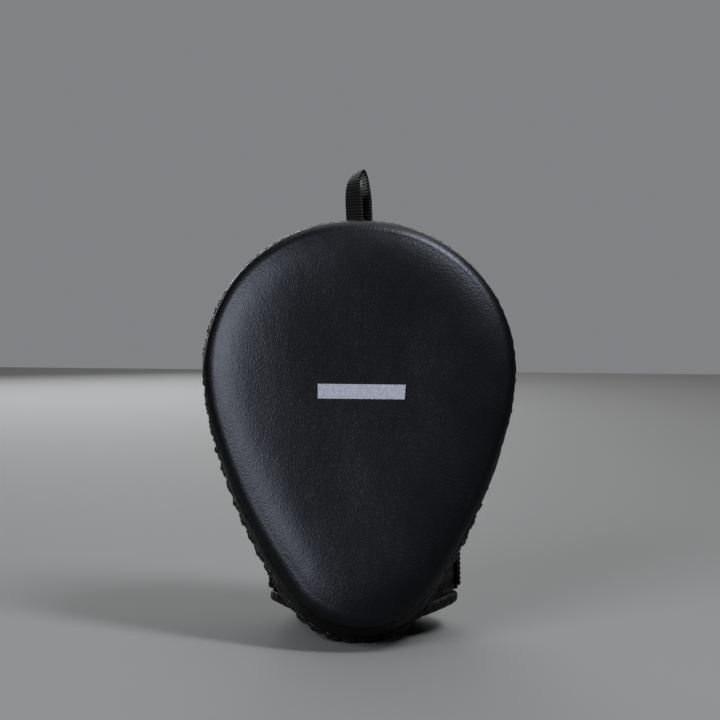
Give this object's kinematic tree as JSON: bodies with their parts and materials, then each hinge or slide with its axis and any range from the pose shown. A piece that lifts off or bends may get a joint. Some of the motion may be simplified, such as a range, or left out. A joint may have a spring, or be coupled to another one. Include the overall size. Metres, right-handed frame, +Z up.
{
  "type": "focus mitt",
  "caption": "Egg-shaped leather striking pad with a dished face, and on its back a padded glove with a thumb stall, a palm ball and a wrist strap. A webbing loop hangs it from the top.",
  "frame": {"origin": "centre of the bounding box's bottom face, on the floor under the standing mitt", "axes": "+Z up, the striking face looks towards -Y and leans back 17 degrees, +X to the right as the face is seen"},
  "size_m": [0.1934, 0.1332, 0.2851],
  "materials": {
    "face_leather": "grained, semi-gloss, black",
    "side_leather": "grained, semi-gloss, black",
    "glove_leather": "grained, satin, black",
    "edge_tape": "smooth folded leather tape, black",
    "print_grey": "matt printed film, light grey",
    "hard_foam": "closed-cell foam, dark grey",
    "soft_foam": "open-cell foam, cream",
    "backing_foam": "dense foam sheet, charcoal",
    "glove_foam": "open-cell foam, cream",
    "lining": "brushed knit, charcoal",
    "suede": "suede, charcoal",
    "mesh": "spacer mesh, black",
    "webbing": "ribbed webbing, black",
    "hook_tape": "moulded hooks, black",
    "loop_pile": "napped loop pile, black"
  },
  "bodies": {
    "mitt": {"strike_face_cover": "face_leather", "side_gusset": "side_leather", "back_panel": "side_leather", "impact_foam": "hard_foam", "core_foam": "soft_foam", "backing_foam": "backing_foam", "rear_edge_binding": "edge_tape", "strike_mark": "print_grey", "loop_tail": "webbing", "palm_lining": "suede", "palm_grip_ball": "suede", "thumb_stall": "glove_leather", "thumb_lining": "lining", "hood_cover": "glove_leather", "hood_padding": "glove_foam", "hood_lining": "lining", "hood_edge_binding": "edge_tape", "hand_mesh_panel": "mesh", "cuff_cover_left": "glove_leather", "cuff_cover_right": "glove_leather", "cuff_padding_left": "glove_foam", "cuff_padding_right": "glove_foam", "cuff_lining_left": "lining", "cuff_lining_right": "lining", "cuff_rim_binding_left": "edge_tape", "cuff_rim_binding_right": "edge_tape", "cuff_top_binding_left": "edge_tape", "cuff_top_binding_right": "edge_tape", "strap_anchor": "webbing", "cuff_loop_pad": "loop_pile"},
    "loop": {"hanging_loop": "webbing"},
    "strap": {"strap_band": "webbing", "strap_lining": "lining"},
    "strap_end": {"strap_free_end": "webbing", "strap_hook_pad": "hook_tape", "strap_pull_tab": "glove_leather"}
  },
  "joints": [
    {"name": "loop_swing", "type": "hinge", "parent": "mitt", "child": "loop", "pos_m": [0, 0.04548, 0.25117], "axis": [1, 0, 0], "range_deg": [-100, 20], "stiffness_Nm_per_rad": 0.01},
    {"name": "strap_open", "type": "hinge", "parent": "mitt", "child": "strap", "pos_m": [-0.04913, 0.03688, 0.0337], "axis": [0, 0.2924, 0.9563], "range_deg": [0, 95]},
    {"name": "strap_tip_peel", "type": "hinge", "parent": "strap", "child": "strap_end", "pos_m": [0.01924, 0.05662, 0.02767], "axis": [0, 0.2924, 0.9563], "range_deg": [0, 80]}
  ]
}
